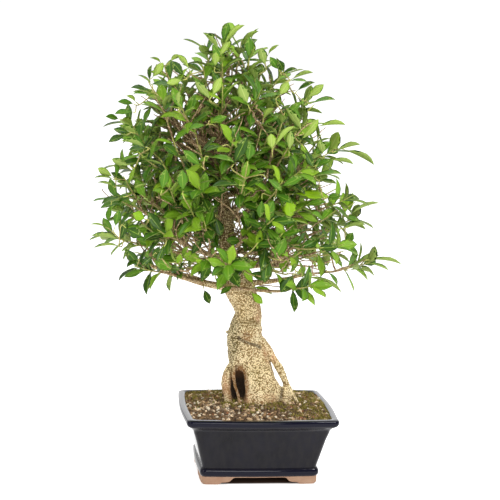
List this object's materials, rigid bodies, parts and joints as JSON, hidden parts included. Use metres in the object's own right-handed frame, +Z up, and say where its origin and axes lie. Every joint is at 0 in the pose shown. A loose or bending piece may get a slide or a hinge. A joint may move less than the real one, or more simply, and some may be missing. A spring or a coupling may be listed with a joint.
{
  "type": "potted ficus bonsai",
  "caption": "Pot plant that stands on a table: a thick trunk with an aerial root, a wide crown of leafy twigs, soil, and a glazed rectangular pot on clay feet.",
  "frame": {"origin": "on the surface it stands on, under the centre of the whole plant's box; the pot's centre is off it, because the crown leans to the left", "axes": "+Z up, front towards -Y, +X to the right as seen from the front"},
  "size_m": [0.4992, 0.443, 0.7618],
  "materials": {
    "glaze": "gloss",
    "mesh": "matte",
    "grains": "matte",
    "bark": "matte",
    "leaf": "satin"
  },
  "bodies": {
    "root": {"pot": "glaze", "drain_screen_1": "mesh", "drain_screen_2": "mesh", "soil": "grains", "trunk": "bark", "spray_01": "leaf", "spray_02": "leaf", "spray_03": "leaf", "spray_04": "leaf", "spray_05": "leaf", "spray_06": "leaf", "spray_07": "leaf", "spray_08": "leaf", "spray_09": "leaf", "spray_10": "leaf", "spray_11": "leaf", "spray_12": "leaf", "spray_13": "leaf", "spray_14": "leaf", "spray_15": "leaf", "spray_16": "leaf", "spray_17": "leaf", "spray_18": "leaf", "spray_19": "leaf", "spray_20": "leaf", "spray_21": "leaf", "spray_22": "leaf", "spray_23": "leaf", "spray_24": "leaf", "spray_25": "leaf", "spray_26": "leaf", "spray_27": "leaf", "spray_28": "leaf", "spray_29": "leaf", "spray_30": "leaf", "spray_31": "leaf", "spray_32": "leaf", "spray_33": "leaf", "spray_34": "leaf", "spray_35": "leaf", "spray_36": "leaf", "spray_37": "leaf", "spray_38": "leaf", "spray_39": "leaf", "spray_40": "leaf", "spray_41": "leaf", "spray_42": "leaf", "spray_43": "leaf", "spray_44": "leaf", "spray_45": "leaf"}
  },
  "joints": []
}
